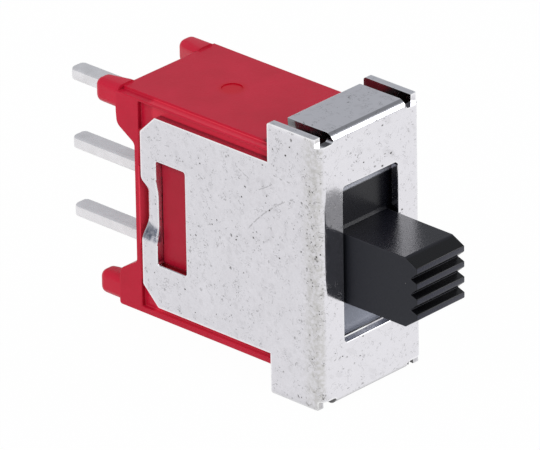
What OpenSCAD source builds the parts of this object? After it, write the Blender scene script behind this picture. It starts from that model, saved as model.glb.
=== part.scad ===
// Ultra-miniature slide switch for a printed circuit board, millimetres.
// X runs across the switch, Z along the slider's travel, and the terminals point along +Y.
// The origin is on the middle terminal's axis, in the plane of the stand-off feet, where the
// board lies. The forms are drawn with y as the depth behind the outer face of the front plate.

/* [Bracket] */
// Outside width of the folded bracket
frame_w = 4.94; // [4.8:0.02:5.2]
// Height of the front plate over its two tabs
frame_h = 9.84; // [9.6:0.02:10.4]
// Thickness of the plated sheet
sheet_t = 0.28; // [0.2:0.01:0.32]
// Outer radius of the bends
bend_r = 0.34; // [0.33:0.01:0.4]
// Depth of the tall front part of the side plates
front_depth = 2.29; // [2.1:0.01:2.6]
// Depth of the side plates in all
plate_depth = 8.07; // [7.9:0.01:8.3]
// Height of the lower rear part of the side plates
plate_h = 6.97; // [6.6:0.01:7.1]
// Chamfer on the rear corners of the side plates
plate_chamfer = 0.68; // [0.3:0.01:0.9]
// Radius on the side plates' corners
plate_r = 0.1; // [0.05:0.01:0.15]
// Width of the two folded tabs
tab_w = 3.5; // [3.2:0.02:3.7]
// Depth of the two folded tabs
tab_depth = 2.05; // [1.6:0.01:2.2]
// Depth of the relief notches beside the tabs
notch_h = 0.3; // [0.2:0.01:0.4]
// How far the relief notches reach round the bends
notch_depth = 0.2; // [0.1:0.01:0.25]
// Radius in the relief notches
notch_r = 0.12; // [0.05:0.01:0.14]

/* [Window] */
// Width of the window
window_w = 2.64; // [2.6:0.01:2.8]
// Height of the window
window_h = 5.64; // [5.5:0.01:6]
// How far the window sits above the middle
window_rise = 0.045; // [0:0.005:0.1]
// Radius in the window's corners
window_r = 0.14; // [0.05:0.01:0.25]

/* [Staked strap] */
// Width of the strap at the rear end of each side plate
strap_w = 0.68; // [0.5:0.01:0.8]
// Length of the slot in front of the strap
slot_l = 1.32; // [1:0.01:1.6]
// Height of the slot
slot_h = 3.79; // [3.3:0.01:4]
// Radius in the slot's corners
slot_r = 0.09; // [0.05:0.01:0.3]
// How far the strap's rear edge is pushed in
stake_rear = 0.34; // [0.2:0.01:0.4]
// How far the strap's front edge is pushed in
stake_front = 0.1; // [0:0.01:0.2]
// Height of the strap's pushed-in middle
stake_flat_h = 0.96; // [0.6:0.01:1.2]
// Height of each sloping part of the strap
stake_run = 0.72; // [0.5:0.01:0.9]

/* [Base] */
// Width of the base outside its recesses for the side plates
base_w = 4.7; // [4.5:0.01:4.76]
// Height of the base
base_h = 7.95; // [7.8:0.01:8.2]
// Depth of the base's front face
base_front = 1.12; // [1.1:0.01:1.3]
// Depth of the rear wall between the two end caps
wall_y = 8.48; // [8.3:0.01:8.8]
// Depth of the end caps' rear faces
cap_y = 9.29; // [9:0.01:9.5]
// Height between the end caps at their rear faces
cap_gap = 5.36; // [4.8:0.01:5.8]
// Height of the flat rear wall between the slopes
wall_h = 4.34; // [4:0.01:4.7]
// Thickness of the lips above and below the side plates
lip_t = 0.2; // [0.15:0.01:0.24]
// Radius on the end caps' inner corners
cap_r = 0.35; // [0.1:0.01:0.4]
// Radius on the base's outer rear corners
base_r = 0.1; // [0.05:0.01:0.2]
// Depth of the openings in the base under the folded tabs
relief_y = 2.05; // [1.9:0.01:2.2]
// Distance of those openings from the middle
relief_z = 3.1; // [2.95:0.01:3.15]
// Radius where the end caps' slopes meet the rear wall
wall_r = 0.2; // [0.1:0.01:0.4]
// Height of the two rails that guide the slider's flange
rail_h = 5.6; // [5:0.1:6]
// Width of the ledge along the left lip
ledge_w = 0.31; // [0.2:0.01:0.4]
// Depth of the ledge below the base's top
ledge_d = 0.1; // [0.05:0.01:0.13]
// Diameter of the round mark on the base's top
dimple_w = 0.75; // [0.6:0.05:1.2]
// Depth of the round mark
dimple_d = 0.03; // [0.02:0.01:0.08]
// Distance of the round mark from the middle
dimple_x = 0.18; // [0:0.02:0.4]
// Depth of the round mark behind the front plate
dimple_y = 6.35; // [6:0.05:7]

/* [Feet] */
// Distance from the front plate's face to the board
seat_y = 10.28; // [9.9:0.01:10.5]
// Width of a stand-off foot, flush with the base's side
foot_w = 0.73; // [0.6:0.01:0.95]
// Height of a stand-off foot
foot_h = 0.88; // [0.6:0.01:1]
// How far the feet sit above their symmetric places
foot_rise = 0.07; // [0:0.01:0.12]
// Radius on the feet's edges and ends
foot_r = 0.26; // [0.1:0.01:0.28]
// How much wider the feet are at their roots
foot_flare = 0.18; // [0:0.01:0.3]

/* [Terminals] */
// Distance between neighbouring terminals
pitch = 2.54; // [2.5:0.01:2.6]
// Width of a terminal
pin_w = 0.65; // [0.5:0.01:0.75]
// Thickness of a terminal
pin_t = 0.45; // [0.3:0.01:0.5]
// Length of a terminal below the board seat
pin_l = 3.12; // [2.8:0.01:4.5]
// Radius on the corners of a terminal's tip
pin_r = 0.2; // [0.1:0.01:0.24]

/* [Slider] */
// Width of the knob
knob_w = 2.34; // [2:0.01:2.5]
// Height of the knob
knob_h = 2.52; // [2.2:0.01:2.6]
// Height of the knob stands out of the front plate
knob_out = 3.07; // [2.5:0.01:3.6]
// Depth of the grooves between the knob's ridges
ridge_d = 0.29; // [0.15:0.01:0.35]
// Number of ridges on the knob
ridge_count = 4; // [3:1:5]
// Height of a ridge's flat crest
crest_h = 0.2; // [0.1:0.01:0.22]
// Drop of the steep upper side of a ridge
ridge_drop = 0.1; // [0.05:0.01:0.12]
// Length of the slope from the knob's top and bottom to its first and last ridges
nose_l = 0.52; // [0.35:0.01:0.6]
// Size of the fillets at the knob's root
root_c = 0.08; // [0.05:0.01:0.13]
// Height of the slope at the knob's top
nose_top_h = 0.26; // [0.1:0.01:0.3]
// Height of the slope at the knob's bottom
nose_bottom_h = 0.38; // [0.1:0.01:0.42]
// Depth of the flange's front face
flange_y = 0.45; // [0.4:0.01:0.5]
// Thickness of the flange
flange_t = 0.62; // [0.5:0.01:0.64]
// Width of the flange
flange_w = 3.5; // [3.2:0.01:3.6]
// Height of the flange
flange_h = 5.64; // [5.3:0.01:5.7]
// How far the flange sits below the knob's middle
flange_drop = 0.05; // [0:0.01:0.1]
// Height of the bevel on the flange's ends
flange_bevel = 0.22; // [0.1:0.01:0.3]
// Width of the slider's body inside the base
body_w = 2.4; // [2.2:0.01:2.5]
// Height of the slider's body
body_h = 2.3; // [2.1:0.01:2.5]
// Depth of the body's rear face
body_y = 3.3; // [3:0.01:3.6]
// Where the slider rests along its travel, from the middle
slider_rest = -0.15; // [-0.3:0.01:0.3]

/* [Plunger and spring] */
// Diameter of the plunger
plunger_d = 1.12; // [1:0.01:1.2]
// Depth at which the plunger begins
plunger_y = 1.9; // [1.8:0.01:2.2]
// Diameter of the spring's seat inside the plunger
cup_d = 0.84; // [0.8:0.01:0.86]
// Depth at which the spring's seat ends
cup_y = 3.5; // [3.2:0.01:3.8]
// Depth of the spring's blind bore, negative inside the knob
spring_y = -1.4; // [-1.8:0.05:-1]
// Outer diameter of the spring
spring_d = 0.74; // [0.7:0.01:0.78]
// Diameter of the spring's wire
wire_d = 0.12; // [0.08:0.01:0.14]
// Number of coils
coils = 9; // [6:1:12]

/* [Contact rocker] */
// Depth of the rocker's pivot
pivot_y = 5.35; // [5.3:0.01:5.45]
// Diameter of the rocker's pivot pins
pivot_d = 0.3; // [0.24:0.01:0.34]
// Diameter of the rocker's knuckle
knuckle_d = 0.5; // [0.46:0.01:0.56]
// Width of the rocker's blade
blade_w = 1.5; // [1.2:0.01:1.6]
// Thickness of the rocker's blade
blade_t = 0.2; // [0.15:0.01:0.22]
// Length of each arm of the rocker
arm_l = 2.2; // [2.1:0.01:2.3]
// Slope of each arm of the rocker, degrees
arm_angle = 8; // [7:0.1:9]
// Distance of the blade's rear face from the pivot
blade_offset = 0.1; // [0.06:0.01:0.12]
// Thickness of the cradle's ears and plate
cradle_t = 0.25; // [0.2:0.01:0.3]
// Height of the cradle's ears
ear_h = 0.8; // [0.7:0.01:0.9]
// Height of the cradle's plate
cradle_h = 1.1; // [1:0.01:1.3]
// Diameter of the fixed contacts
contact_d = 0.7; // [0.5:0.01:0.8]
// Thickness of the fixed contacts
contact_t = 0.14; // [0.1:0.01:0.2]
// Thickness of the end terminals' heads
head_t = 0.42; // [0.35:0.01:0.5]
// Width of the end terminals' heads
head_w = 1.3; // [1:0.01:1.6]

/* [Clearances] */
// Gap between the base and the bracket
fit_gap = 0.02; // [0.01:0.01:0.03]
// Gap behind the side plates in the base
recess_gap = 0.2; // [0.1:0.01:0.25]
// Gap round the terminals in the base
pin_gap = 0.02; // [0.01:0.01:0.04]
// Gap at the sides of the slider
slide_gap = 0.05; // [0.03:0.01:0.08]
// Radial gap of the plunger in the slider
plunger_gap = 0.04; // [0.02:0.01:0.06]
// Gap between the plunger's nose and the rocker
nose_gap = 0.05; // [0.03:0.01:0.08]
// Radial gap of the rocker's pins in the cradle
pivot_gap = 0.02; // [0.01:0.01:0.03]
// Gap between the pressed arm and the fixed contact
contact_gap = 0.04; // [0.035:0.005:0.06]
// Gap between the crimped strap and its pocket
stake_gap = 0.06; // [0.03:0.01:0.1]

/* [Hidden] */
$fn = 48;
skin = 0.01;
cut = 1;
far = 20;
arc_steps = 6;
foot_sides = 24;
strap_rows = 32;
spring_sides = 8;
spring_steps = 16;
terminal_room = 0.4;
knuckle_room = 0.3;
contact_rim = 0.05;
inner_w = frame_w - 2 * sheet_t;
notch_z = frame_h / 2 - notch_h;
core_w = inner_w - 2 * fit_gap;
recess_end = plate_depth + recess_gap;
recess_h = base_h - 2 * lip_t;
strap_y = plate_depth - strap_w;
slot_y = strap_y - slot_l;
stake_h = stake_flat_h + 2 * stake_run;
pocket_x = frame_w / 2 - sheet_t - stake_gap;
cavity_w = body_w + 2 * slide_gap;
cavity_h = 2 * (pitch + pin_t / 2 + terminal_room);
rail_w = (core_w - flange_w) / 2 - slide_gap;
knob_pitch = (knob_h - nose_top_h - nose_bottom_h - crest_h) / (ridge_count - 1);
bore_d = plunger_d + 2 * plunger_gap;
spring_bore_d = cup_d;
plunger_room = 0.5;
blade_front = pivot_y - blade_offset - blade_t;
nose_y = blade_front - nose_gap;
contact_front = pivot_y - blade_offset + contact_gap;
head_y = contact_front + contact_t;
floor_y = head_y + head_t;
cradle_y = pivot_y + knuckle_d / 2 + knuckle_room;
cradle_w = blade_w + 2 * (cradle_t + slide_gap);
contact_z = arm_l - contact_d / 2 - contact_rim;
head_h = pitch + pin_t / 2 - contact_z + contact_d / 2 + contact_rim;

// Moves a form from depths behind the front plate's face into the switch's frame.
module from_face() {
    translate([0, -seat_y, 0]) children();
}

// Extrudes a side view, drawn as depth and height, across the switch.
module across(width) {
    rotate([90, 0, 90]) linear_extrude(width, center = true) children();
}

// Extrudes a front view, drawn as x and z, from one depth to another.
module through(y0, y1) {
    translate([0, y1, 0]) rotate([90, 0, 0]) linear_extrude(y1 - y0) children();
}

// A centred rectangle with round corners.
module round_rect(width, height, r) {
    square([width - 2 * r, height], center = true);
    square([width, height - 2 * r], center = true);
    for (x = [-1, 1], y = [-1, 1])
        translate([x * (width / 2 - r), y * (height / 2 - r)]) circle(r);
}

// A rectangle from y = 0 backwards whose two front corners are round.
module round_front(width, depth, r) {
    translate([-width / 2, r]) square([width, depth - r]);
    translate([r - width / 2, 0]) square([width - 2 * r, depth]);
    for (x = [-1, 1]) translate([x * (width / 2 - r), r]) circle(r);
}

// The folded sheet in section: a plate with a leg bent back at each end.
module folded_sheet(width, depth) {
    difference() {
        round_front(width, depth, bend_r);
        translate([0, sheet_t]) round_front(width - 2 * sheet_t, depth, bend_r - sheet_t);
    }
}

// Rounds each corner [a, b, radius] of an outline, and leaves those of radius 0 sharp.
function rounded(corners) = [
    for (i = [0:len(corners) - 1])
        let (
            last = len(corners) - 1, r = corners[i][2],
            p = flat(corners[i]), before = flat(corners[i > 0 ? i - 1 : last]),
            after = flat(corners[i < last ? i + 1 : 0]),
            u = (before - p) / norm(before - p), v = (after - p) / norm(after - p),
            half = acos(u * v) / 2, sweep = 180 - 2 * half,
            centre = p + (u + v) / norm(u + v) * r / sin(half),
            from = p + u * r / tan(half) - centre, to = p + v * r / tan(half) - centre
        )
        each r == 0 ? [p]
            : [for (k = [0:arc_steps])
                let (t = sweep * k / arc_steps)
                centre + (from * sin(sweep - t) + to * sin(t)) / sin(sweep)]
];

function flat(corner) = [corner[0], corner[1]];

// An outline that is the same below as above, from the corners of its upper half.
module mirrored_outline(half) {
    polygon(rounded(concat(half, [for (i = [len(half) - 1:-1:0]) [half[i][0], -half[i][1], half[i][2]]])));
}

// Side view of a side plate: tall in front, lower behind, with two chamfered corners.
module side_outline() {
    mirrored_outline([
        [-bend_r, frame_h / 2, 0], [front_depth, frame_h / 2, plate_r], [front_depth, plate_h / 2, 0],
        [plate_depth - plate_chamfer, plate_h / 2, plate_r],
        [plate_depth, plate_h / 2 - plate_chamfer, plate_r],
    ]);
}

// Front view of one relief notch between a tab and a side plate.
module notch_outline() {
    width = (frame_w - tab_w) / 2 + notch_r + skin;
    height = notch_h + cut;
    translate([(tab_w + width) / 2, notch_z + height / 2]) round_rect(width, height, notch_r);
}

// Share of the crimp at a height: whole across the middle, easing out over each run.
function crimp(z) = let (t = (abs(z) - stake_flat_h / 2) / stake_run)
    t <= 0 ? 1 : t >= 1 ? 0 : (1 + cos(180 * t)) / 2;

// The left strap where it is pushed in, swept up as a row of sections.
module staked_strap() {
    points = [for (i = [0:strap_rows])
        let (z = (i / strap_rows - 0.5) * (stake_h + 2 * skin), k = crimp(z))
        each [
            [stake_front * k, strap_y, z], [stake_rear * k, plate_depth, z],
            [stake_rear * k + sheet_t, plate_depth, z], [stake_front * k + sheet_t, strap_y, z],
        ]];
    walls = [for (i = [0:strap_rows - 1], j = [0:3]) let (a = 4 * i + j, b = 4 * i + (j + 1) % 4)
        each [[a, b + 4, a + 4], [a, b, b + 4]]];
    top = [for (j = [0:3]) 4 * strap_rows + j];
    translate([-frame_w / 2, 0, 0]) polyhedron(points, concat(walls, [[3, 2, 1, 0], top]), convexity = 4);
}

module bracket() color([0.82, 0.82, 0.84]) from_face() {
    difference() {
        union() {
            difference() {
                intersection() {
                    linear_extrude(frame_h, center = true) folded_sheet(frame_w, plate_depth);
                    across(frame_w + cut) side_outline();
                }
                for (up = [0, 1]) mirror([0, 0, up]) {
                    for (side = [0, 1]) mirror([side, 0, 0]) {
                        through(-cut, notch_depth) notch_outline();
                        through(-cut, bend_r) intersection() {
                            notch_outline();
                            square([inner_w / 2, far]);
                        }
                    }
                    translate([-tab_w / 2, -cut, frame_h / 2 - bend_r]) cube([tab_w, cut + bend_r, far]);
                }
            }
            across(tab_w) mirror([1, -1]) folded_sheet(frame_h, tab_depth);
        }
        translate([0, 0, window_rise]) through(-cut, bend_r) round_rect(window_w, window_h, window_r);
        across(frame_w + cut) translate([slot_y + slot_l / 2, 0]) round_rect(slot_l, slot_h, slot_r);
        translate([-far / 2, strap_y, -stake_h / 2]) cube([far, far, stake_h]);
    }
    for (side = [0, 1]) mirror([side, 0, 0]) staked_strap();
}

// Side view of the base: two end caps joined by a rear wall that slopes in from them.
module base_outline() {
    mirrored_outline([
        [base_front, base_h / 2, 0], [cap_y, base_h / 2, base_r], [cap_y, cap_gap / 2, cap_r],
        [wall_y, wall_h / 2, wall_r],
    ]);
}

// One stand-off foot on the right, round at its edges and end, that widens inwards at its root.
module foot() {
    $fn = foot_sides;
    translate([(base_w - foot_w) / 2, 0, 0]) hull() {
        through(cap_y - base_r, cap_y) translate([-foot_flare / 2, 0])
            round_rect(foot_w + foot_flare, foot_h, foot_r);
        for (i = [0:arc_steps]) {
            inset = foot_r * (1 - cos(90 * i / arc_steps));
            run = foot_r * (1 - sin(90 * i / arc_steps));
            through(cap_y, seat_y - run)
                round_rect(foot_w - 2 * inset, foot_h - 2 * inset, foot_r - inset + skin);
        }
    }
}

// The room that the right side plate and its crimped strap need in the base.
module side_recess() {
    translate([core_w / 2, 0, -far / 2]) cube([far, front_depth + fit_gap, far]);
    translate([core_w / 2, 0, -recess_h / 2]) cube([far, recess_end, recess_h]);
    linear_extrude(stake_h + 2 * stake_gap, center = true) polygon([
        [far, strap_y - fit_gap], [pocket_x - stake_front, strap_y - fit_gap],
        [pocket_x - stake_rear, plate_depth], [pocket_x - stake_rear, recess_end], [far, recess_end],
    ]);
}

// The opening inside the base, with the slots that its terminals are pushed through.
module cavity() {
    translate([-cavity_w / 2, base_front - cut, -cavity_h / 2])
        cube([cavity_w, floor_y - base_front + cut, cavity_h]);
    through(floor_y - skin, cradle_y + cradle_t)
        square([cradle_w + 2 * fit_gap, cradle_h + 2 * fit_gap], center = true);
    for (i = [-1:1]) translate([0, 0, i * pitch]) through(floor_y - skin, cap_y + cut)
        square([pin_w + 2 * pin_gap, pin_t + 2 * pin_gap], center = true);
}

module base() color([0.72, 0.13, 0.2]) from_face() {
    difference() {
        across(base_w) base_outline();
        for (side = [0, 1]) mirror([side, 0, 0]) side_recess();
        cavity();
        for (up = [0, 1]) mirror([0, 0, up]) translate([-far / 2, 0, relief_z]) cube([far, relief_y, far]);
        translate([-base_w / 2 - cut, 0, base_h / 2 - ledge_d]) cube([ledge_w + cut, far, cut]);
        translate([dimple_x, dimple_y, base_h / 2 - dimple_d]) cylinder(h = cut, d = dimple_w);
    }
    for (side = [0, 1]) mirror([side, 0, 0]) {
        translate([core_w / 2 - rail_w, sheet_t + fit_gap, -rail_h / 2])
            cube([rail_w, base_front - sheet_t - fit_gap + skin, rail_h]);
        for (up = [-1, 1]) translate([0, 0, up * (base_h - foot_h) / 2 + foot_rise]) foot();
    }
}

// Places what rides on the slider at its height along the travel.
module at_rest() {
    from_face() translate([0, 0, slider_rest]) children();
}

// Side view of the knob and its neck, with a row of ridges across the end.
module knob_outline() {
    front = -knob_out;
    crests = [for (i = [0:ridge_count - 1]) knob_h / 2 - nose_top_h - i * knob_pitch];
    ridges = [for (i = [0:ridge_count - 1], side = [0:2]) if (side < 2 || i < ridge_count - 1)
        side == 2 ? [front + ridge_d, crests[i] - knob_pitch + ridge_drop]
            : [front, crests[i] - side * crest_h]];
    top = [
        [flange_y + flange_t / 2, knob_h / 2 + root_c], [flange_y, knob_h / 2 + root_c],
        [flange_y - root_c, knob_h / 2], [front + nose_l, knob_h / 2],
    ];
    bottom = [for (i = [len(top) - 1:-1:0]) [top[i][0], -top[i][1]]];
    polygon(concat(top, ridges, bottom));
}

// Side view of the flange, bevelled at the front of both its ends.
module flange_outline() {
    mirrored_outline([
        [flange_y, flange_h / 2 - flange_bevel, 0], [flange_y + flange_bevel, flange_h / 2, 0],
        [flange_y + flange_t, flange_h / 2, 0],
    ]);
}

module slider() color([0.15, 0.15, 0.17]) at_rest() {
    difference() {
        union() {
            across(knob_w) knob_outline();
            across(flange_w) translate([0, -flange_drop]) flange_outline();
            through(flange_y + flange_t / 2, body_y) square([body_w, body_h], center = true);
        }
        rotate([-90, 0, 0]) {
            translate([0, 0, spring_y]) cylinder(h = body_y - spring_y, d = spring_bore_d);
            translate([0, 0, plunger_y - plunger_room]) cylinder(h = body_y, d = bore_d);
        }
    }
}

module plunger() color([0.86, 0.84, 0.78]) at_rest() rotate([-90, 0, 0]) {
    difference() {
        union() {
            translate([0, 0, plunger_y]) cylinder(h = nose_y - plunger_d / 2 - plunger_y, d = plunger_d);
            translate([0, 0, nose_y - plunger_d / 2]) sphere(d = plunger_d);
        }
        translate([0, 0, plunger_y - skin]) cylinder(h = cup_y - plunger_y + skin, d = cup_d);
    }
}

// A round wire wound along the slider's bore, swept as rings of points.
module plunger_spring() color([0.7, 0.7, 0.72]) at_rest() rotate([-90, 0, 0]) {
    rings = coils * spring_steps;
    coil_r = (spring_d - wire_d) / 2;
    rise = cup_y - spring_y - wire_d;
    points = [for (i = [0:rings], j = [0:spring_sides - 1])
        let (
            turn = 360 * i / spring_steps, side = 360 * j / spring_sides,
            r = coil_r + wire_d / 2 * cos(side)
        )
        [r * cos(turn), r * sin(turn), spring_y + wire_d / 2 * (1 + sin(side)) + rise * i / rings]];
    walls = [for (i = [0:rings - 1], j = [0:spring_sides - 1])
        let (a = i * spring_sides + j, b = i * spring_sides + (j + 1) % spring_sides)
        [a, a + spring_sides, b + spring_sides, b]];
    ends = [
        [for (j = [0:spring_sides - 1]) j],
        [for (j = [spring_sides - 1:-1:0]) rings * spring_sides + j],
    ];
    polyhedron(points, concat(walls, ends), convexity = coils);
}

// The contact rocker: two arms that slope forward from a knuckle with a pivot pin on each side.
module rocker() color([0.8, 0.78, 0.72]) from_face() translate([0, pivot_y, 0]) {
    for (up = [0, 1]) mirror([0, 0, up]) rotate([arm_angle, 0, 0])
        translate([-blade_w / 2, -blade_offset - blade_t, 0]) cube([blade_w, blade_t, arm_l]);
    rotate([0, 90, 0]) {
        cylinder(h = blade_w, d = knuckle_d, center = true);
        cylinder(h = cradle_w, d = pivot_d, center = true);
    }
}

// One terminal's flat pin from a given depth to its round-cornered tip.
module pin(start) {
    tip_y = seat_y + pin_l;
    translate([0, tip_y, 0]) mirror([0, 1, 0])
        linear_extrude(pin_t, center = true) round_front(pin_w, tip_y - start, pin_r);
}

module terminal_head() {
    translate([-head_w / 2, head_y, pitch + pin_t / 2 - head_h]) cube([head_w, head_t, head_h]);
}

module terminal_top() color([0.8, 0.8, 0.8]) from_face() {
    terminal_head();
    translate([0, 0, pitch]) pin(head_y);
}

module terminal_bottom() color([0.8, 0.8, 0.8]) from_face() mirror([0, 0, 1]) {
    terminal_head();
    translate([0, 0, pitch]) pin(head_y);
}

// The middle terminal carries the cradle in which the rocker's pivot pins turn.
module terminal_middle() color([0.8, 0.8, 0.8]) from_face() {
    pin(cradle_y);
    through(cradle_y, cradle_y + cradle_t) square([cradle_w, cradle_h], center = true);
    difference() {
        for (side = [0, 1]) mirror([side, 0, 0]) translate([cradle_w / 2 - cradle_t, 0, 0])
            rotate([90, 0, 90]) linear_extrude(cradle_t) {
                translate([pivot_y, 0]) circle(d = ear_h);
                translate([pivot_y, -ear_h / 2]) square([cradle_y - pivot_y + skin, ear_h]);
            }
        translate([0, pivot_y, 0]) rotate([0, 90, 0])
            cylinder(h = cradle_w + cut, d = pivot_d + 2 * pivot_gap, center = true);
    }
}

module contact(z) color([0.86, 0.84, 0.78]) from_face() {
    translate([0, contact_front, z]) rotate([-90, 0, 0]) cylinder(h = contact_t, d = contact_d);
}

module contact_top() contact(contact_z);
module contact_bottom() contact(-contact_z);

bracket();
base();
slider();
plunger();
plunger_spring();
rocker();
terminal_top();
terminal_middle();
terminal_bottom();
contact_top();
contact_bottom();
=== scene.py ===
import bmesh
import bpy
import math
from mathutils import Matrix, Vector
from mathutils.bvhtree import BVHTree


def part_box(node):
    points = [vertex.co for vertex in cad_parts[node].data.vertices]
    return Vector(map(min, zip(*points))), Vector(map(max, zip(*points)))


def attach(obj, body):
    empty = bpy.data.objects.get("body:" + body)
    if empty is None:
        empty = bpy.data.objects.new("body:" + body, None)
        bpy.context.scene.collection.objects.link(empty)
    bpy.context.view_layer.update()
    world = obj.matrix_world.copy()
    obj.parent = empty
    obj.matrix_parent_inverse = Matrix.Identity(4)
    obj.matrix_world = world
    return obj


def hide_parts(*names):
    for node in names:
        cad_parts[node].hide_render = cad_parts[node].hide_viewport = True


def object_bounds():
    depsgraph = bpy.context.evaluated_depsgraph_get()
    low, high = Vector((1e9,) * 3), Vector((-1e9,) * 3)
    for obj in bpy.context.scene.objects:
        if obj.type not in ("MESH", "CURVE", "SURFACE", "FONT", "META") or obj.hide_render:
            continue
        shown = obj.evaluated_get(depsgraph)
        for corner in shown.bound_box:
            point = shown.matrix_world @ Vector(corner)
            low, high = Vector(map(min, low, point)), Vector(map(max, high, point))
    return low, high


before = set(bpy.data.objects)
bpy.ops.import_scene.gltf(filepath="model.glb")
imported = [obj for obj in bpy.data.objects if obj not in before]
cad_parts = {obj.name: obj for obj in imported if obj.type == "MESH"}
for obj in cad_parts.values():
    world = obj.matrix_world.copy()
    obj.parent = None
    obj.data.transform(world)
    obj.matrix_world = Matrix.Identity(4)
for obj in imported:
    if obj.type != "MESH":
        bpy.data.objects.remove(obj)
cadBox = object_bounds()
print("frame loaded:", len(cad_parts), "nodes")

mm = 0.001


# Node helpers

def addNode(tree, kind, inputs=None, **settings):
    # A node with its settings, and with values or links on its inputs.
    node = tree.nodes.new(kind)
    for key, value in settings.items():
        setattr(node, key, value)
    for key, value in (inputs or {}).items():
        if isinstance(value, bpy.types.NodeSocket):
            tree.links.new(value, node.inputs[key])
        else:
            node.inputs[key].default_value = value
    return node


def newGroup(name, inputs, outputs):
    # An empty shader group with named float sockets.
    group = bpy.data.node_groups.new(name, "ShaderNodeTree")
    for label, value in inputs.items():
        socket = group.interface.new_socket(label, in_out="INPUT", socket_type="NodeSocketFloat")
        socket.default_value = value
    for label in outputs:
        group.interface.new_socket(label, in_out="OUTPUT", socket_type="NodeSocketFloat")
    return group, group.nodes.new("NodeGroupInput"), group.nodes.new("NodeGroupOutput")


def calc(tree, operation, a, b=0.0, c=0.0):
    return addNode(tree, "ShaderNodeMath", {0: a, 1: b, 2: c}, operation=operation).outputs[0]


def times(tree, first, *others):
    # The product of all the values.
    for value in others:
        first = calc(tree, "MULTIPLY", first, value)
    return first


def largest(tree, first, *others):
    for value in others:
        first = calc(tree, "MAXIMUM", first, value)
    return first


def span(tree, value, low, high, toLow=0.0, toHigh=1.0):
    # Maps a value from low..high smoothly to toLow..toHigh.
    return addNode(
        tree, "ShaderNodeMapRange",
        {0: value, 1: low, 2: high, 3: toLow, 4: toHigh}, interpolation_type="SMOOTHSTEP",
    ).outputs[0]


def placeInMm(tree):
    # Object coordinates counted in millimetres.
    place = addNode(tree, "ShaderNodeTexCoord").outputs["Object"]
    scaled = addNode(tree, "ShaderNodeVectorMath", {0: place}, operation="SCALE")
    scaled.inputs["Scale"].default_value = 1 / mm
    return scaled.outputs[0]


def separate(tree, vector):
    return addNode(tree, "ShaderNodeSeparateXYZ", {0: vector}).outputs


def moveBy(tree, place, shift):
    return addNode(tree, "ShaderNodeVectorMath", {0: place, 1: shift}, operation="ADD").outputs[0]


def surface(tree):
    # Where a point lies, in millimetres, and which way it faces. Wide and high are x and z without a sign.
    x, y, z = separate(tree, placeInMm(tree))
    faceX, faceY, faceZ = separate(tree, addNode(tree, "ShaderNodeNewGeometry").outputs["Normal"])
    return {
        "x": x, "y": y, "z": z, "wide": calc(tree, "ABSOLUTE", x), "high": calc(tree, "ABSOLUTE", z),
        "faceX": faceX, "faceY": faceY, "faceZ": faceZ, "sideways": calc(tree, "ABSOLUTE", faceX),
    }


def patch(tree, at, limits):
    # One between each start and end, falling to nought over the soft margin. None leaves an end open.
    shares = []
    for key, (start, end, soft) in limits.items():
        if start is not None:
            shares.append(span(tree, at[key], start - soft, start))
        if end is not None:
            shares.append(span(tree, at[key], end + soft, end))
    return times(tree, *shares)


# Shared effects

def makeMottle():
    # Soft uneven tone, Size spots to the millimetre.
    group, entry, leave = newGroup("mottle", {"Size": 1.0, "Detail": 4.0, "Contrast": 1.0}, ["Value"])
    noise = addNode(group, "ShaderNodeTexNoise", {
        "Vector": placeInMm(group), "Scale": entry.outputs["Size"], "Detail": entry.outputs["Detail"],
        "Roughness": 0.6,
    })
    middle = 0.5
    centred = calc(group, "SUBTRACT", noise.outputs[0], middle)
    scaled = calc(group, "MULTIPLY_ADD", centred, entry.outputs["Contrast"], middle)
    group.links.new(addNode(group, "ShaderNodeClamp", {0: scaled}).outputs[0], leave.inputs["Value"])
    return group


def makeMarks():
    # Specks, or scratches when they are stretched; Share of the cells hold one.
    group, entry, leave = newGroup("marks", {
        "Density": 3.0, "Size": 0.2, "Share": 0.5, "Stretch": 1.0, "Turn": 0.0, "Ragged": 0.1, "Seed": 0.0,
    }, ["Mask"])
    mostlySmall = 1.5
    softRim = 0.55
    place = placeInMm(group)
    ragged = addNode(group, "ShaderNodeTexNoise", {"Vector": place, "Scale": 9.0, "Detail": 2.0})
    shift = addNode(group, "ShaderNodeVectorMath", {0: ragged.outputs[1]}, operation="SCALE")
    group.links.new(entry.outputs["Ragged"], shift.inputs["Scale"])
    turned = addNode(group, "ShaderNodeVectorRotate", {
        "Vector": moveBy(group, place, shift.outputs[0]), "Axis": (0.6, -0.7, 0.35),
        "Angle": entry.outputs["Turn"],
    })
    squeeze = addNode(group, "ShaderNodeCombineXYZ", {
        0: 1.0, 1: 1.0, 2: calc(group, "DIVIDE", 1.0, entry.outputs["Stretch"]),
    })
    squeezed = addNode(
        group, "ShaderNodeVectorMath", {0: turned.outputs[0], 1: squeeze.outputs[0]}, operation="MULTIPLY",
    )
    offset = addNode(group, "ShaderNodeCombineXYZ", {0: entry.outputs["Seed"], 1: 0.37, 2: 0.11})
    cells = addNode(group, "ShaderNodeTexVoronoi", {
        "Vector": moveBy(group, squeezed.outputs[0], offset.outputs[0]), "Scale": entry.outputs["Density"],
        "Randomness": 1.0,
    })
    chance = addNode(group, "ShaderNodeSeparateColor", {0: cells.outputs["Color"]}).outputs
    size = times(group, entry.outputs["Size"], calc(group, "POWER", chance[1], mostlySmall))
    near = span(group, calc(group, "DIVIDE", cells.outputs["Distance"], size), 1.0, softRim)
    here = calc(group, "LESS_THAN", chance[0], entry.outputs["Share"])
    group.links.new(times(group, near, here), leave.inputs["Mask"])
    return group


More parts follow.
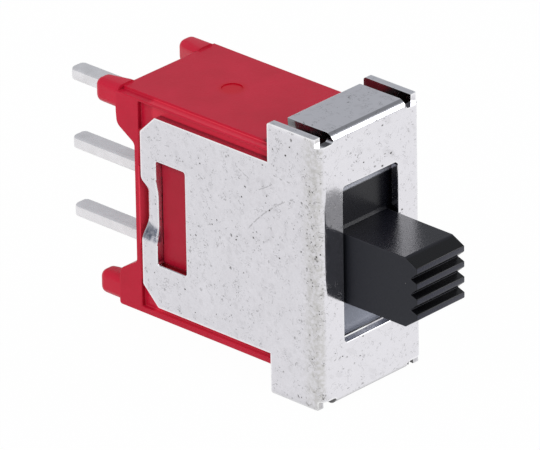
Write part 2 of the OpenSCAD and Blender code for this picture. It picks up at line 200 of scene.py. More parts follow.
def makeCurls():
    # Fine curled hairlines, the thin contour lines of a noise, kept only in scattered patches.
    group, entry, leave = newGroup("curls", {
        "Size": 6.0, "Width": 0.012, "Share": 0.55, "Seed": 0.0,
    }, ["Mask"])
    contour = 0.5
    softRim = 0.4
    patchScale = 0.45
    patchFade = 0.04
    shift = addNode(group, "ShaderNodeCombineXYZ", {0: entry.outputs["Seed"], 1: 0.73, 2: 0.29})
    place = moveBy(group, placeInMm(group), shift.outputs[0])
    noise = addNode(group, "ShaderNodeTexNoise", {
        "Vector": place, "Scale": entry.outputs["Size"], "Detail": 1.0, "Distortion": 0.6,
    })
    away = calc(group, "ABSOLUTE", calc(group, "SUBTRACT", noise.outputs[0], contour))
    line = span(group, calc(group, "DIVIDE", away, entry.outputs["Width"]), 1.0, softRim)
    patches = addNode(group, "ShaderNodeTexNoise", {
        "Vector": place, "Scale": times(group, entry.outputs["Size"], patchScale), "Detail": 3.0,
    })
    above = calc(group, "SUBTRACT", patches.outputs[0], entry.outputs["Share"])
    group.links.new(times(group, line, span(group, above, 0.0, patchFade)), leave.inputs["Mask"])
    return group


def makeStroke():
    # One scratch seen from the side: a bowed, broken line about Y and Z, with Reach and Width in millimetres.
    group, entry, leave = newGroup("stroke", {
        "Y": 0.0, "Z": 0.0, "Angle": 0.0, "Reach": 1.0, "Bow": 0.0, "Width": 0.02,
    }, ["Mask"])
    waviness = 0.09
    softRim = 0.3
    softEnds = 0.85
    brokenBelow = 0.36
    wholeAbove = 0.5
    _, y, z = separate(group, placeInMm(group))
    across = calc(group, "SUBTRACT", y, entry.outputs["Y"])
    upward = calc(group, "SUBTRACT", z, entry.outputs["Z"])
    turn = calc(group, "RADIANS", entry.outputs["Angle"])
    sine = calc(group, "SINE", turn)
    cosine = calc(group, "COSINE", turn)
    along = calc(group, "MULTIPLY_ADD", across, cosine, times(group, upward, sine))
    aside = calc(group, "SUBTRACT", times(group, upward, cosine), times(group, across, sine))
    part = calc(group, "DIVIDE", along, entry.outputs["Reach"])
    bowed = calc(group, "SUBTRACT", aside, times(group, entry.outputs["Bow"], times(group, part, part)))
    broken = addNode(group, "ShaderNodeTexNoise", {"Vector": placeInMm(group), "Scale": 7.0, "Detail": 2.0})
    sway = calc(group, "SUBTRACT", broken.outputs[0], 0.5)
    wavy = calc(group, "ABSOLUTE", calc(group, "MULTIPLY_ADD", sway, waviness, bowed))
    near = span(group, calc(group, "DIVIDE", wavy, entry.outputs["Width"]), 1.0, softRim)
    inside = span(group, calc(group, "ABSOLUTE", part), 1.0, softEnds)
    worn = times(group, near, span(group, broken.outputs[0], brokenBelow, wholeAbove))
    group.links.new(times(group, worn, inside), leave.inputs["Mask"])
    return group


def makeEdges():
    # Where the surface bends within Width, in millimetres.
    group, entry, leave = newGroup("edges", {"Width": 0.05}, ["Mask"])
    flatAbove = 0.995
    bentBelow = 0.85
    bend = addNode(group, "ShaderNodeBevel", {"Radius": times(group, entry.outputs["Width"], mm)}, samples=6)
    flat = addNode(group, "ShaderNodeNewGeometry").outputs["True Normal"]
    along = addNode(group, "ShaderNodeVectorMath", {0: bend.outputs[0], 1: flat}, operation="DOT_PRODUCT")
    group.links.new(span(group, along.outputs["Value"], flatAbove, bentBelow), leave.inputs["Mask"])
    return group


def makeCrevices():
    # Where the surface is shut in by what lies within Reach, in millimetres.
    group, entry, leave = newGroup("crevices", {"Reach": 0.6}, ["Mask"])
    sky = addNode(group, "ShaderNodeAmbientOcclusion", {
        "Distance": times(group, entry.outputs["Reach"], mm),
    }, samples=8)
    group.links.new(calc(group, "SUBTRACT", 1.0, sky.outputs["AO"]), leave.inputs["Mask"])
    return group


effects = {
    "mottle": makeMottle(), "marks": makeMarks(), "curls": makeCurls(), "stroke": makeStroke(),
    "edges": makeEdges(), "crevices": makeCrevices(),
}


def effect(tree, name, values):
    node = addNode(tree, "ShaderNodeGroup", values, node_tree=effects[name])
    return node.outputs[0]


def newMaterial(name):
    material = bpy.data.materials.new(name)
    material.use_nodes = True
    tree = material.node_tree
    tree.nodes.clear()
    shader = tree.nodes.new("ShaderNodeBsdfPrincipled")
    leave = tree.nodes.new("ShaderNodeOutputMaterial")
    tree.links.new(shader.outputs[0], leave.inputs["Surface"])
    return material, tree, shader


def paint(tree, colour, over, *shares):
    # The colour with another one laid over it, by the product of the shares.
    node = addNode(tree, "ShaderNodeMix", {0: times(tree, *shares)}, data_type="RGBA")
    for index, value in ((6, colour), (7, over)):
        if isinstance(value, bpy.types.NodeSocket):
            tree.links.new(value, node.inputs[index])
        else:
            node.inputs[index].default_value = (*value, 1.0)
    return node.outputs[2]


def setRoughness(tree, shader, values, fine, dull):
    # The finish's roughness, uneven by its fine tone and higher where it is dull.
    start = values["roughness"] - values["roughnessSwing"] / 2
    rough = calc(tree, "MULTIPLY_ADD", fine, values["roughnessSwing"], start)
    rough = calc(tree, "MULTIPLY_ADD", dull, values["dullRoughness"], rough)
    tree.links.new(rough, shader.inputs["Roughness"])


def addBump(tree, shader, height, values, normal=None):
    # Bump of the given depth in millimetres.
    bump = addNode(tree, "ShaderNodeBump", {
        "Height": height, "Strength": values["bumpStrength"], "Distance": values["bumpDepth"] * mm,
    })
    if normal:
        tree.links.new(normal, bump.inputs["Normal"])
    tree.links.new(bump.outputs[0], shader.inputs["Normal"])


print("shared effects ready")


# Plated steel of the bracket. A place has start, end and soft margin, in millimetres or of the normal.

steel = {
    "light": (0.74, 0.73, 0.77), "dark": (0.58, 0.57, 0.60), "paintedLight": (0.84, 0.83, 0.87),
    "speck": (0.07, 0.065, 0.06), "stain": (0.38, 0.37, 0.31), "burnt": (0.12, 0.14, 0.20),
    "paintedRedReflection": (0.30, 0.02, 0.04), "edge": (0.99, 0.99, 1.0), "paintedShade": (0.03, 0.03, 0.03),
    "roughness": 0.13, "roughnessSwing": 0.08, "dullRoughness": 0.3,
    "bumpDepth": 0.012, "bumpStrength": 0.35, "broadBump": 0.6,
    "broad": {"Size": 1.1, "Detail": 5.0, "Contrast": 2.0},
    "fine": {"Size": 7.0, "Detail": 6.0, "Contrast": 2.4},
    "flecks": {"Density": 3.4, "Size": 0.25, "Share": 0.7, "Stretch": 1.3, "Turn": 0.7, "Ragged": 0.12},
    "pits": {
        "Density": 7.5, "Size": 0.36, "Share": 0.7, "Stretch": 1.4, "Turn": 2.0, "Ragged": 0.09, "Seed": 3.0,
    },
    "grime": {
        "Density": 11.0, "Size": 0.6, "Share": 0.7, "Stretch": 1.2, "Turn": 1.0, "Ragged": 0.08, "Seed": 7.0,
    },
    "smudges": {
        "Density": 4.6, "Size": 0.7, "Share": 0.6, "Stretch": 2.2, "Turn": 2.6, "Ragged": 0.15, "Seed": 5.0,
    },
    "curls": {"Size": 6.5, "Width": 0.022, "Share": 0.53},
    "scratches": (
        {"Y": -8.03, "Z": 1.76, "Angle": -39.4, "Reach": 1.42, "Bow": -0.15, "Width": 0.03},
        {"Y": -8.64, "Z": 3.05, "Angle": 3.9, "Reach": 0.42, "Bow": 0.03, "Width": 0.035},
        {"Y": -7.89, "Z": 2.54, "Angle": -33.0, "Reach": 0.38, "Bow": 0.02, "Width": 0.03},
        {"Y": -6.84, "Z": 2.77, "Angle": 26.6, "Reach": 0.36, "Bow": 0.02, "Width": 0.025},
    ),
    "edgeWidth": 0.14, "shutReach": 0.5, "shutFrom": 0.3, "shutTo": 0.9,
    "broadShare": 0.35, "fineShare": 0.3, "paintedLightShare": 0.5, "paintedRedReflectionShare": 0.9, "markShare": 0.95,
    "scratchShare": 0.36, "curlShare": 0.42, "smudgeShare": 0.07, "edgeHighlightShare": 0.8, "rimShare": 0.5,
    "notchShare": 0.8, "shutShare": 0.85, "strapLevel": 0.8,
    "leastFlecks": 0.3, "leastPits": 0.1, "fewerInFront": 0.55,
    "clusterTone": (0.42, 0.8), "grimeTone": (0.3, 0.7),
    "stainTone": (0.1, 0.9, 0.1, 0.45), "paintedDarkReflectionTone": (0.1, 0.9, 0.35, 0.95),
    "places": {
        "side": {"fromLeft": (None, 0.12, 0.18)},
        "front": {"fromFront": (None, 0.05, 0.15)},
        "tabs": {"fromTop": (None, 0.05, 0.15)},
        "bend": {"fromFront": (None, 0.3, 0.65), "fromLeft": (None, 0.12, 0.18)},
        "burnt": {"fromBack": (None, 0.7, 0.1), "fromLeft": (None, 0.12, 0.18), "z": (-1.05, -0.68, 0.14)},
        "slotEnds": {"y": (-4.35, -2.95, 0.05), "high": (1.7, 1.93, 0.03), "fromSides": (0.06, None, 0.04)},
        "rim": {"faceZ": (0.82, 0.95, 0.05), "faceY": (None, -0.3, 0.1)},
        "notchSide": {"faceX": (None, -0.9, 0.2), "high": (4.3, None, 0.1), "fromLeft": (0.35, None, 0.1)},
        "strap": {"fromBack": (None, 0.6, 0.15), "high": (None, 1.2, 0.3)},
        "upperStrap": {"z": (0.3, None, 0.3)},
    },
}


def makeSteel():
    material, tree, shader = newMaterial("tinnedSteel")
    broad, fine = (effect(tree, "mottle", steel[key]) for key in ("broad", "fine"))
    flecks, pits, grime, smudges = (
        effect(tree, "marks", steel[key]) for key in ("flecks", "pits", "grime", "smudges"))
    (left, front, _), (_, back, top) = (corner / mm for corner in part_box("bracket"))
    at = surface(tree)
    at["fromLeft"] = calc(tree, "SUBTRACT", at["x"], left)
    at["fromSides"] = calc(tree, "SUBTRACT", -left, at["wide"])
    at["fromFront"] = calc(tree, "SUBTRACT", at["y"], front)
    at["fromBack"] = calc(tree, "SUBTRACT", back, at["y"])
    at["fromTop"] = calc(tree, "SUBTRACT", top, at["z"])
    on = {name: patch(tree, at, limits) for name, limits in steel["places"].items()}
    forward = largest(tree, on["front"], on["tabs"])
    clusters = span(tree, broad, *steel["clusterTone"])

    flecks = times(
        tree, flecks, calc(tree, "MULTIPLY_ADD", clusters, 1 - steel["leastFlecks"], steel["leastFlecks"]),
        calc(tree, "MULTIPLY_ADD", forward, -steel["fewerInFront"], 1.0))
    pits = times(tree, pits, calc(tree, "MULTIPLY_ADD", clusters, 1 - steel["leastPits"], steel["leastPits"]))
    grime = times(tree, grime, on["bend"], span(tree, broad, *steel["grimeTone"]))
    marks = largest(tree, flecks, pits, grime)
    strokes = times(tree, on["side"], largest(
        tree, *(effect(tree, "stroke", values) for values in steel["scratches"])))
    scuffs = largest(
        tree, times(tree, strokes, steel["scratchShare"]),
        times(tree, effect(tree, "curls", steel["curls"]), steel["curlShare"]),
        times(tree, smudges, steel["smudgeShare"]))
    stained = times(tree, on["bend"], span(tree, fine, *steel["stainTone"]))
    burnt = times(tree, on["burnt"], span(tree, fine, *steel["paintedDarkReflectionTone"]))
    edges = effect(tree, "edges", {"Width": steel["edgeWidth"]})
    shut = span(
        tree, effect(tree, "crevices", {"Reach": steel["shutReach"]}), steel["shutFrom"], steel["shutTo"])

    colour = paint(tree, steel["light"], steel["dark"], broad, steel["broadShare"])
    colour = paint(tree, colour, steel["dark"], fine, steel["fineShare"])
    # Painted light: the front plate and the tabs are made lighter, as if lit more strongly.
    colour = paint(tree, colour, steel["paintedLight"], forward, steel["paintedLightShare"])
    colour = paint(tree, colour, steel["stain"], stained)
    # Painted reflection: a dark bluish patch on the strap's lower slope, uneven by the fine tone.
    colour = paint(tree, colour, steel["burnt"], burnt)
    # Painted reflection: the sheared edges at the slot's ends take the dark red of the base beside them.
    colour = paint(tree, colour, steel["paintedRedReflection"], on["slotEnds"], steel["paintedRedReflectionShare"])
    colour = paint(tree, colour, steel["speck"], marks, steel["markShare"])
    colour = paint(tree, colour, steel["speck"], scuffs)
    # Painted highlight: the rounded edges are made almost white.
    colour = paint(tree, colour, steel["edge"], edges, steel["edgeHighlightShare"])
    # Painted reflection: a dark line on the tabs' front bends, just below their tops.
    colour = paint(tree, colour, steel["paintedShade"], on["rim"], steel["rimShare"])
    # Painted shade: the tabs' side edges in the notches are made nearly black.
    colour = paint(tree, colour, steel["paintedShade"], on["notchSide"], steel["notchShare"])
    # Painted shade in the crevices, where the surface is shut in.
    colour = paint(tree, colour, steel["paintedShade"], shut, steel["shutShare"])
    tree.links.new(colour, shader.inputs["Base Color"])
    shader.inputs["Metallic"].default_value = 1.0
    setRoughness(tree, shader, steel, fine, marks)

    # The strap's slopes are shaded nearly as flat as the side around them.
    level = calc(tree, "MULTIPLY_ADD", on["strap"], -steel["strapLevel"], 1.0)
    onUpperStrap = times(tree, on["strap"], on["upperStrap"])
    upright = calc(tree, "MULTIPLY_ADD", onUpperStrap, -steel["strapLevel"], 1.0)
    normal = addNode(tree, "ShaderNodeCombineXYZ", {
        0: at["faceX"], 1: times(tree, at["faceY"], level), 2: times(tree, at["faceZ"], upright),
    })
    normal = addNode(tree, "ShaderNodeVectorMath", {0: normal.outputs[0]}, operation="NORMALIZE")
    height = calc(tree, "SUBTRACT", times(tree, broad, steel["broadBump"]), largest(tree, marks, scuffs))
    addBump(tree, shader, height, steel, normal.outputs[0])
    return material


# Red moulded resin of the base. A place has start, end and soft margin, in millimetres or of the normal.

resin = {
    "light": (0.63, 0.010, 0.042), "dark": (0.52, 0.006, 0.028), "edge": (0.78, 0.05, 0.08),
    "deep": (0.58, 0.0, 0.016), "lit": (0.95, 0.05, 0.09), "shade": (0.03, 0.001, 0.002),
    "speck": (0.2, 0.01, 0.015), "scratch": (0.75, 0.25, 0.28),
    "roughness": 0.32, "roughnessSwing": 0.12, "dullRoughness": 0.2, "specular": 0.2,
    "bumpDepth": 0.006, "bumpStrength": 0.4, "scratchBump": 0.6,
    "broad": {"Size": 0.7, "Detail": 3.0, "Contrast": 1.6},
    "fine": {"Size": 14.0, "Detail": 3.0, "Contrast": 1.4},
    "specks": {"Density": 2.2, "Size": 0.07, "Share": 0.3, "Stretch": 2.0, "Turn": 0.4, "Ragged": 0.1},
    "scratches": {"Density": 1.1, "Size": 0.03, "Share": 0.35, "Stretch": 14.0, "Turn": 2.3, "Ragged": 0.3},
    "edgeWidth": 0.1, "shutReach": 0.9, "shutFrom": 0.4, "shutTo": 1.0,
    "edgeHighlightShare": 0.25, "speckShare": 0.3, "scratchShare": 0.2, "slotShare": 0.22, "channelShare": 0.5,
    "footShare": 0.15, "shutShare": 0.4,
    "dimple": (0.18, -3.93, 3.95), "notchSlant": 0.12,
    "places": {
        "dimple": {"fromDimple": (None, 0.3, 0.32)},
        "nearDimple": {"fromDimple": (None, 0.5, 0.1)},
        "behindStrap": {"y": (-2.25, -1.99, 0.02), "high": (None, 1.4, 0.05), "wide": (1.6, None, 0.1)},
        "besideStrap": {"y": (-2.25, -1.99, 0.02), "high": (1.45, 2.75, 0.02), "wide": (1.6, 2.32, 0.02)},
        "slot": {"y": (-4.3, -2.8, 0.05), "high": (None, 2.0, 0.1), "x": (None, -2.1, 0.1)},
        "notch": {"slanted": (None, -7.9, 0.35), "high": (3.0, None, 0.1), "wide": (None, 2.15, 0.05)},
        "channel": {"y": (-7.7, -2.6, 0.2), "high": (3.3, 3.9, 0.03), "wide": (None, 2.32, 0.025)},
        "feet": {"y": (-0.95, None, 0.15), "high": (3.0, None, 0.1)},
    },
}


def makeResin():
    material, tree, shader = newMaterial("redResin")
    broad, fine = (effect(tree, "mottle", resin[key]) for key in ("broad", "fine"))
    specks, scratches = (effect(tree, "marks", resin[key]) for key in ("specks", "scratches"))
    edges = effect(tree, "edges", {"Width": resin["edgeWidth"]})
    toDimple = addNode(
        tree, "ShaderNodeVectorMath", {0: placeInMm(tree), 1: resin["dimple"]}, operation="DISTANCE")
    at = surface(tree)
    at["fromDimple"] = toDimple.outputs["Value"]
    at["slanted"] = calc(tree, "MULTIPLY_ADD", at["x"], resin["notchSlant"], at["y"])
    on = {name: patch(tree, at, limits) for name, limits in resin["places"].items()}
    recess = largest(tree, on["behindStrap"], on["besideStrap"])
    spared = largest(tree, recess, on["nearDimple"], on["channel"])
    shut = calc(tree, "SUBTRACT", effect(tree, "crevices", {"Reach": resin["shutReach"]}), spared)
    shut = span(tree, shut, resin["shutFrom"], resin["shutTo"])

    colour = paint(tree, resin["dark"], resin["light"], broad)
    # Painted highlight: the rounded edges are made a lighter red.
    colour = paint(tree, colour, resin["edge"], edges, resin["edgeHighlightShare"])
    colour = paint(tree, colour, resin["deep"], on["dimple"])
    colour = paint(tree, colour, resin["speck"], specks, resin["speckShare"])
    colour = paint(tree, colour, resin["scratch"], scratches, resin["scratchShare"])
    colour = paint(tree, colour, resin["lit"], recess)
    colour = paint(tree, colour, resin["shade"], on["slot"], resin["slotShare"])
    colour = paint(tree, colour, resin["shade"], on["notch"])
    colour = paint(tree, colour, resin["lit"], on["channel"], resin["channelShare"])
    colour = paint(tree, colour, resin["lit"], on["feet"], resin["footShare"])
    colour = paint(tree, colour, resin["shade"], shut, resin["shutShare"])
    tree.links.new(colour, shader.inputs["Base Color"])
    shader.inputs["Specular IOR Level"].default_value = resin["specular"]
    setRoughness(tree, shader, resin, fine, scratches)
    addBump(tree, shader, calc(tree, "MULTIPLY_ADD", scratches, -resin["scratchBump"], fine), resin)
    return material


# Black nylon of the slider. A place has start, end and soft margin, in millimetres or of the normal.

nylon = {
    "light": (0.013, 0.013, 0.019), "dark": (0.006, 0.006, 0.010), "side": (0.015, 0.016, 0.022),
    "nose": (0.002, 0.002, 0.003), "rib": (0.030, 0.031, 0.047), "edge": (0.09, 0.09, 0.10),
    "dust": (0.35, 0.34, 0.33), "paintedSheen": (0.41, 0.435, 0.52), "gleam": (0.8, 0.82, 0.9),
    "roughness": 0.26, "roughnessSwing": 0.14, "dullRoughness": 0.3, "specular": 0.30,
    "bumpDepth": 0.006, "bumpStrength": 0.4,
    "broad": {"Size": 1.1, "Detail": 4.0, "Contrast": 1.6},
    "fine": {"Size": 12.0, "Detail": 4.0, "Contrast": 1.6},
    "specks": {"Density": 2.6, "Size": 0.055, "Share": 0.3, "Stretch": 1.2, "Turn": 0.3, "Ragged": 0.06},
    "edgeWidth": 0.07, "edgeHighlightShare": 0.35, "dustShare": 0.5, "streakShare": 0.3, "streakStart": 0.75,
    "places": {
        "sides": {"sideways": (0.8, None, 0.3)},
        "nose": {"y": (None, -12.95, 0.1), "sideways": (None, 0.5, 0.3)},
        "ribTips": {"y": (None, -12.95, 0.1), "sideways": (None, 0.5, 0.3), "faceY": (None, -0.97, 0.07)},
        "lowerFlange": {"y": (-9.88, -9.6, 0.03), "z": (None, -1.6, 0.15)},
        "upperLip": {"y": (-9.88, -9.6, 0.03), "z": (2.44, None, 0.04)},
    },
}


def makeNylon():
    material, tree, shader = newMaterial("blackNylon")
    broad, fine = (effect(tree, "mottle", nylon[key]) for key in ("broad", "fine"))
    dust = effect(tree, "marks", nylon["specks"])
    edges = effect(tree, "edges", {"Width": nylon["edgeWidth"]})
    at = surface(tree)
    on = {name: patch(tree, at, limits) for name, limits in nylon["places"].items()}
    streaky = calc(tree, "MULTIPLY_ADD", fine, nylon["streakShare"], nylon["streakStart"])

    colour = paint(tree, nylon["dark"], nylon["light"], broad)
    # Painted light: faces turned sideways are made a little lighter, to keep their brightness where they are
    # rougher.
    colour = paint(tree, colour, nylon["side"], on["sides"])
    # Painted highlight: the rounded edges are made a lighter grey.
    colour = paint(tree, colour, nylon["edge"], edges, nylon["edgeHighlightShare"])
    colour = paint(tree, colour, nylon["dust"], dust, nylon["dustShare"])
    # Painted shade: the knob's nose at the front is made darker, except where it faces sideways.
    colour = paint(tree, colour, nylon["nose"], on["nose"])
    # Painted highlight: the front faces of the ribs are made lighter.
    colour = paint(tree, colour, nylon["rib"], on["ribTips"])
    # Painted sheen: a streaky grey-blue reflection on the flange below the knob.
    colour = paint(tree, colour, nylon["paintedSheen"], on["lowerFlange"], streaky)
    colour = paint(tree, colour, nylon["gleam"], on["upperLip"], streaky)
    tree.links.new(colour, shader.inputs["Base Color"])
    shader.inputs["Specular IOR Level"].default_value = nylon["specular"]
    setRoughness(tree, shader, nylon, fine, on["sides"])
    addBump(tree, shader, fine, nylon)
    return material


# Plated metals of the terminals, contacts and spring.

plating = {
    "tinnedBrass": {
        "light": (0.88, 0.87, 0.89), "dark": (0.72, 0.71, 0.72), "roughness": 0.26, "metal": 0.62,
    },
    "silver": {
        "light": (0.86, 0.85, 0.82), "dark": (0.66, 0.63, 0.58), "roughness": 0.22, "metal": 1.0,
    },
    "springSteel": {
        "light": (0.62, 0.62, 0.64), "dark": (0.42, 0.42, 0.45), "roughness": 0.26, "metal": 1.0,
    },
}
platingWear = {
    "speck": (0.22, 0.2, 0.19), "edge": (0.92, 0.91, 0.9), "roughnessSwing": 0.1, "dullRoughness": 0.15,
    "bumpDepth": 0.003, "bumpStrength": 0.12, "scratchBump": 0.8,
    "broad": {"Size": 1.8, "Detail": 4.0, "Contrast": 1.8},
    "fine": {"Size": 9.0, "Detail": 3.0, "Contrast": 1.4},
    "specks": {"Density": 4.0, "Size": 0.16, "Share": 0.4, "Stretch": 2.5, "Turn": 1.4, "Ragged": 0.1},
    "scratches": {"Density": 2.4, "Size": 0.05, "Share": 0.4, "Stretch": 12.0, "Turn": 0.2, "Ragged": 0.1},
    "edgeWidth": 0.06, "speckShare": 0.35, "edgeHighlightShare": 0.4,
}


def makePlating(name):
    values = {**platingWear, **plating[name]}
    material, tree, shader = newMaterial(name)
    broad, fine = (effect(tree, "mottle", values[key]) for key in ("broad", "fine"))
    specks, scratches = (effect(tree, "marks", values[key]) for key in ("specks", "scratches"))
    edges = effect(tree, "edges", {"Width": values["edgeWidth"]})
    colour = paint(tree, values["light"], values["dark"], broad)
    colour = paint(tree, colour, values["speck"], specks, values["speckShare"])
    # Painted highlight: the rounded edges are made almost white.
    colour = paint(tree, colour, values["edge"], edges, values["edgeHighlightShare"])
    tree.links.new(colour, shader.inputs["Base Color"])
    shader.inputs["Metallic"].default_value = values["metal"]
    setRoughness(tree, shader, values, fine, scratches)
    addBump(tree, shader, calc(tree, "MULTIPLY_ADD", scratches, -values["scratchBump"], fine), values)
    return material


materials = {"steel": makeSteel(), "resin": makeResin(), "nylon": makeNylon()}
materials.update({name: makePlating(name) for name in plating})
print("materials ready")


# Hidden pieces keep their shapes and get their finishes.

insideFinishes = {
    "plunger": "silver", "plunger_spring": "springSteel", "rocker": "silver",
    "contact_top": "silver", "contact_bottom": "silver",
}
for nodeName, finish in insideFinishes.items():
    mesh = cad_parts[nodeName].data
    mesh.materials.clear()
    mesh.materials.append(materials[finish])


# Visible pieces get the soft edges of moulded and stamped parts. Sizes are in millimetres.
# An edge inside one of the boxes to keep stays as it is. The boxes count x and z both ways from the middle.

terminal = {  # what the three terminals share
    "body": "housing", "finish": "tinnedBrass", "slot": "tinned_brass", "edge": 0.09, "keep": (),
}
visiblePieces = {
    "bracketSheet": {
        "node": "bracket", "body": "housing", "finish": "steel", "slot": "tinned_steel", "edge": 0.035,
        "keep": (
            ((1.6, -10.4, 4.2), (2.6, -9.85, 5.0)), ((-0.1, -10.02, -0.1), (2.2, -2.1, 4.66)),
            ((1.7, -2.3, -0.1), (2.6, -2.1, 5.1)), ((2.1, -9.9, 2.3), (2.6, -2.1, 5.1)),
            ((1.7, -3.2, 1.1), (2.6, -2.1, 1.3)),
        ),
    },
    "baseMoulding": {
        "node": "base", "body": "housing", "finish": "resin", "slot": "red_resin", "edge": 0.04,
        "keep": (
            ((1.5, -1.8, 2.9), (2.5, 0.1, 4.2)), ((1.7, -3.2, -0.1), (2.3, -2.05, 1.5)),
            ((-0.1, -4.5, 3.8), (0.7, -3.4, 4.1)),
        ),
    },
    "sliderKnob": {
        "node": "slider", "body": "slider", "finish": "nylon", "slot": "black_nylon", "edge": 0.035,
        "keep": (((-0.1, -9.95, -1.5), (1.3, -9.8, 1.5)),),
    },
    "topTerminal": {"node": "terminal_top", **terminal},
    "middleTerminal": {"node": "terminal_middle", **terminal},
    "bottomTerminal": {"node": "terminal_bottom", **terminal},
}
softening = {  # angles in degrees; furthest is a share of the piece's edge
    "mergeWithin": 0.002, "flatAngle": 1, "sharpAngle": 25, "creaseAngle": 35, "segments": 3,
    "furthest": 0.7, "normalWeight": 80,
}


def markSharpEdges(mesh, keep):
    # Weighs the edges to round: all that are sharp, outside the small boxes that keep their own.
    form = bmesh.new()
    form.from_mesh(mesh)
    weight = form.edges.layers.float.new("bevel_weight_edge")
    for edge in form.edges:
        middle = (edge.verts[0].co + edge.verts[1].co) / 2 / mm
        place = (abs(middle.x), middle.y, abs(middle.z))
        kept = any(all(low < at < high for low, at, high in zip(box[0], place, box[1])) for box in keep)
        sharp = edge.is_manifold and edge.calc_face_angle() > math.radians(softening["sharpAngle"])
        edge[weight] = 1.0 if sharp and not kept else 0.0
    form.to_mesh(mesh)
    form.free()


def shadeByAngle(mesh):
    # Smooth shading that breaks at the sharper edges.
    form = bmesh.new()
    form.from_mesh(mesh)
    form.normal_update()
    for face in form.faces:
        face.smooth = True
    for edge in form.edges:
        edge.smooth = edge.is_manifold and edge.calc_face_angle() < math.radians(softening["creaseAngle"])
    form.to_mesh(mesh)
    form.free()


def makeSoftPiece(name, values):
    # A copy of the CAD solid with its loose triangles joined and its sharp edges rounded.
    bpy.ops.object.select_all(action="DESELECT")
    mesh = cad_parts[values["node"]].data.copy()
    piece = bpy.data.objects.new(name, mesh)
    bpy.context.collection.objects.link(piece)
    piece.select_set(True)
    bpy.context.view_layer.objects.active = piece
    bpy.ops.object.mode_set(mode="EDIT")
    bpy.ops.mesh.select_all(action="SELECT")
    bpy.ops.mesh.remove_doubles(threshold=softening["mergeWithin"] * mm)
    bpy.ops.mesh.dissolve_limited(angle_limit=math.radians(softening["flatAngle"]))
    bpy.ops.object.mode_set(mode="OBJECT")
    markSharpEdges(mesh, values["keep"])
    solid = BVHTree.FromPolygons([v.co for v in mesh.vertices], [p.vertices for p in mesh.polygons])
    bevel = piece.modifiers.new("softEdges", "BEVEL")
    bevel.width = values["edge"] * mm
    bevel.segments = softening["segments"]
    bevel.use_clamp_overlap = False
    bevel.limit_method = "WEIGHT"
    bpy.ops.object.modifier_apply(modifier=bevel.name)
    for vertex in mesh.vertices:  # a corner that the bevel threw out comes back to the solid
        nearest, _, _, distance = solid.find_nearest(vertex.co)
        if distance > softening["furthest"] * values["edge"] * mm:
            vertex.co = nearest
    shadeByAngle(mesh)
    even = piece.modifiers.new("evenShading", "WEIGHTED_NORMAL")
    even.keep_sharp = True
    even.weight = softening["normalWeight"]
    bpy.ops.object.modifier_apply(modifier=even.name)
    mesh.materials.clear()
    mesh.materials.append(materials[values["finish"]])
    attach(piece, values["body"])
    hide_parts(values["node"])


for name, values in visiblePieces.items():
    makeSoftPiece(name, values)
print("visible pieces ready")


# Floor, light and camera. Sizes and places are in metres, angles in degrees, the lens in millimetres.

stage = {
    "floorSize": 6.0, "floorColour": (0.86, 0.86, 0.86), "floorRoughness": 0.9, "whiteShare": 0.985,
    "worldColour": (0.48, 0.495, 0.52),
    "lamps": {
        "key": {"power": 1.2, "size": 0.32, "place": (-0.44, 0.02, 0.36)},
        "fill": {"power": 0.8, "size": 0.28, "place": (0.34, -0.32, 0.19)},
    },
}
view = {
    "azimuth": -46.482, "elevation": 25.859, "roll": -0.963, "distance": 0.30506, "lens": 620.85,
    "sensor": 36, "nearest": 0.01, "furthest": 10, "aim": (-0.002106, -0.007719, 0.000987),
}


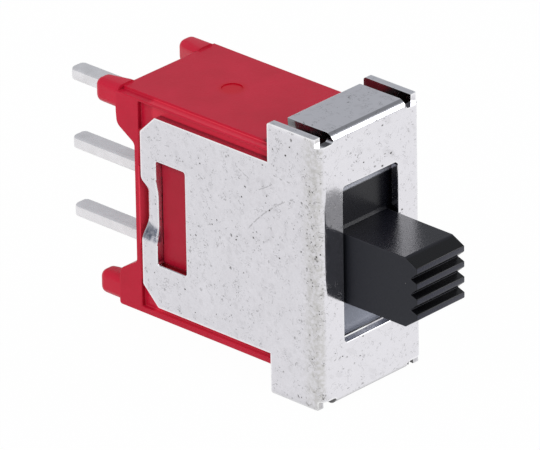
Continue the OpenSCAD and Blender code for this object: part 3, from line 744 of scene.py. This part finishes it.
def makeFloor():
    # A pale floor that looks white to the camera and in reflections, but for the share that keeps the shadow.
    bpy.ops.object.select_all(action="DESELECT")
    bpy.ops.mesh.primitive_plane_add(size=stage["floorSize"], location=(0, 0, cadBox[0].z))
    floor = bpy.context.object
    floor.name = "floor"
    bpy.ops.object.transform_apply(location=True, rotation=True, scale=True)
    material, tree, shader = newMaterial("floorWhite")
    shader.inputs["Base Color"].default_value = (*stage["floorColour"], 1.0)
    shader.inputs["Roughness"].default_value = stage["floorRoughness"]
    shader.inputs["Specular IOR Level"].default_value = 0.0
    glow = addNode(tree, "ShaderNodeEmission", {"Color": (1, 1, 1, 1), "Strength": 1.0})
    rays = addNode(tree, "ShaderNodeLightPath").outputs
    seen = largest(tree, rays["Is Camera Ray"], rays["Is Glossy Ray"], rays["Is Transmission Ray"])
    share = times(tree, seen, stage["whiteShare"])
    mixed = addNode(tree, "ShaderNodeMixShader", {0: share, 1: shader.outputs[0], 2: glow.outputs[0]})
    tree.links.new(mixed.outputs[0], tree.nodes["Material Output"].inputs["Surface"])
    floor.data.materials.append(material)


def makeLamp(name, values):
    # A square lamp that faces the object.
    data = bpy.data.lights.new(name, "AREA")
    data.shape = "SQUARE"
    data.size = values["size"]
    data.energy = values["power"]
    lamp = bpy.data.objects.new(name, data)
    bpy.context.collection.objects.link(lamp)
    lamp.location = values["place"]
    lamp.rotation_euler = lamp.location.to_track_quat("Z", "Y").to_euler()


def makeWorld():
    world = bpy.data.worlds.new("studio")
    bpy.context.scene.world = world
    world.use_nodes = True
    world.node_tree.nodes["Background"].inputs["Color"].default_value = (*stage["worldColour"], 1.0)
    world.node_tree.nodes["Background"].inputs["Strength"].default_value = 1.0


def makeCamera():
    turn, rise, roll = (math.radians(view[key]) for key in ("azimuth", "elevation", "roll"))
    back = Vector((math.sin(turn) * math.cos(rise), -math.cos(turn) * math.cos(rise), math.sin(rise)))
    right = Vector((math.cos(turn), math.sin(turn), 0))
    up = back.cross(right)
    side = right * math.cos(roll) + up * math.sin(roll)
    top = up * math.cos(roll) - right * math.sin(roll)
    data = bpy.data.cameras.new("camera")
    data.lens = view["lens"]
    data.sensor_width = view["sensor"]
    data.clip_start = view["nearest"]
    data.clip_end = view["furthest"]
    camera = bpy.data.objects.new("camera", data)
    bpy.context.collection.objects.link(camera)
    place = Matrix.Translation(Vector(view["aim"]) + back * view["distance"])
    camera.matrix_world = place @ Matrix((side, top, back)).transposed().to_4x4()
    bpy.context.scene.camera = camera


makeFloor()
for name, values in stage["lamps"].items():
    makeLamp(name, values)
makeWorld()
makeCamera()
bpy.context.scene.view_settings.view_transform = "Standard"
print("stage ready")
